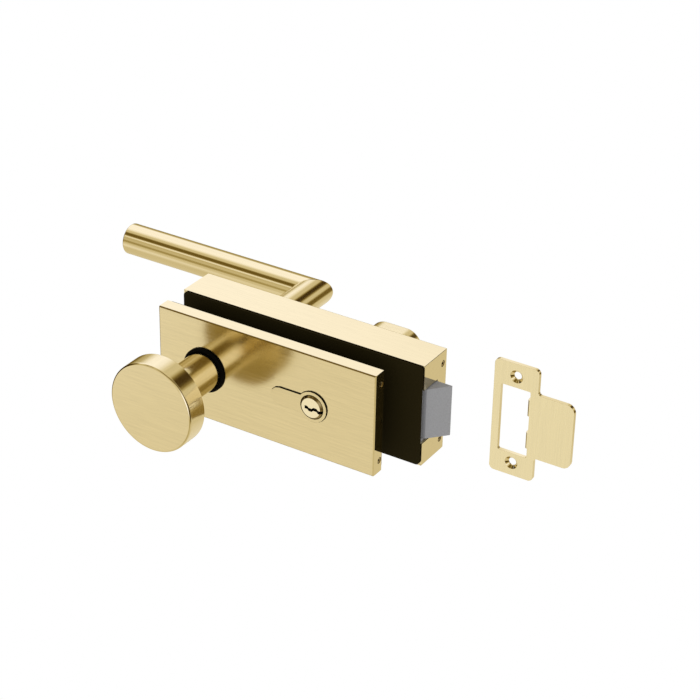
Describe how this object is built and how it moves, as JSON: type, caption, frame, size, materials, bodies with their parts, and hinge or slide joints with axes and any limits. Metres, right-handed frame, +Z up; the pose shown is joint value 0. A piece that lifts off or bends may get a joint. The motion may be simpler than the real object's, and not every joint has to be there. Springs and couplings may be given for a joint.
{
  "type": "glass door lock",
  "caption": "Clamp-on latch lock for a frameless glass door: round knob outside, bent tube lever and thumb-turn inside, key cylinder, sprung wedge latch and loose strike plate.",
  "frame": {"origin": "on the rear pad's face that meets the glass, halfway between the spindle axis and the cylinder axis, at mid height", "axes": "+X towards the latch and the door's closing edge, -Y out of the door on the knob side, +Y into the room on the lever side, +Z up"},
  "size_m": [0.3095, 0.1547, 0.0636],
  "materials": {
    "brushed_gold": "brushed, gold coloured coating",
    "bright_steel": "plain",
    "grey_zinc": "matte grey die casting",
    "turned_brass": "turned and polished",
    "black_rubber": "matte",
    "black_nylon": "matte"
  },
  "bodies": {
    "lock_body": {"carriage_spring": "bright_steel", "chassis": "grey_zinc", "chassis_lid": "bright_steel", "clamp_screw_1": "bright_steel", "clamp_screw_2": "bright_steel", "clamp_screw_3": "bright_steel", "clamp_screw_4": "bright_steel", "cylinder_body": "turned_brass", "cylinder_screw": "bright_steel", "driver_pin_1": "bright_steel", "driver_pin_2": "bright_steel", "driver_pin_3": "bright_steel", "driver_pin_4": "bright_steel", "driver_pin_5": "bright_steel", "follower_spring": "bright_steel", "front_clamp_plate": "bright_steel", "front_cover": "brushed_gold", "front_cover_grub_screw_1": "bright_steel", "front_cover_grub_screw_2": "bright_steel", "front_cover_grub_screw_3": "bright_steel", "front_cover_grub_screw_4": "bright_steel", "front_pad": "black_rubber", "glass_sleeve_1": "black_nylon", "glass_sleeve_2": "black_nylon", "glass_sleeve_3": "black_nylon", "glass_sleeve_4": "black_nylon", "knob": "brushed_gold", "knob_collar": "black_nylon", "knob_stud": "bright_steel", "latch_spring": "bright_steel", "lever_bush": "black_nylon", "lid_screw_1": "bright_steel", "lid_screw_2": "bright_steel", "lid_screw_3": "bright_steel", "lid_screw_4": "bright_steel", "rear_cover": "brushed_gold", "rear_cover_grub_screw_1": "bright_steel", "rear_cover_grub_screw_2": "bright_steel", "rear_cover_grub_screw_3": "bright_steel", "rear_cover_grub_screw_4": "bright_steel", "rear_pad": "black_rubber", "strike_plate": "brushed_gold"},
    "lever_set": {"lever_handle": "brushed_gold", "lever_grub_screw": "bright_steel", "spindle": "bright_steel", "follower": "bright_steel"},
    "latch_set": {"latch_bolt": "grey_zinc", "latch_pin": "bright_steel", "draw_bar": "bright_steel"},
    "carriage_set": {"draw_carriage": "turned_brass"},
    "turn_set": {"thumb_turn": "brushed_gold", "turn_shaft": "bright_steel", "cam_gear": "turned_brass"},
    "plug_set": {"key_plug": "turned_brass", "key_pin_1": "bright_steel", "key_pin_2": "bright_steel", "key_pin_3": "bright_steel", "key_pin_4": "bright_steel", "key_pin_5": "bright_steel"}
  },
  "joints": [
    {"name": "lever_turn", "type": "hinge", "parent": "lock_body", "child": "lever_set", "pos_m": [-0.03285, 0, 0], "axis": [0, -1, 0], "range_deg": [0, 35], "stiffness_Nm_per_rad": 2, "springref_deg": -25.78, "deforming": ["follower_spring"]},
    {"name": "latch_draw", "type": "slide", "parent": "carriage_set", "child": "latch_set", "axis": [-1, 0, 0], "range_m": [0, 0.0087], "deforming": ["latch_spring"]},
    {"name": "carriage_draw", "type": "slide", "parent": "lock_body", "child": "carriage_set", "axis": [-1, 0, 0], "range_m": [0, 0.0085], "stiffness_N_per_m": 900, "springref_m": -0.02, "deforming": ["carriage_spring", "latch_spring"]},
    {"name": "thumb_turn_turn", "type": "hinge", "parent": "lock_body", "child": "turn_set", "pos_m": [0.03285, 0, 0], "axis": [0, -1, 0], "range_deg": [0, 65]},
    {"name": "key_plug_turn", "type": "hinge", "parent": "lock_body", "child": "plug_set", "pos_m": [0.03285, 0, 0], "axis": [0, -1, 0], "range_deg": [0, 65]}
  ],
  "couplings": [
    {"joint": "latch_draw", "follows": "lever_turn", "m_per_rad": 0.014242},
    {"joint": "thumb_turn_turn", "follows": "carriage_draw", "rad_per_m": 133.33}
  ]
}
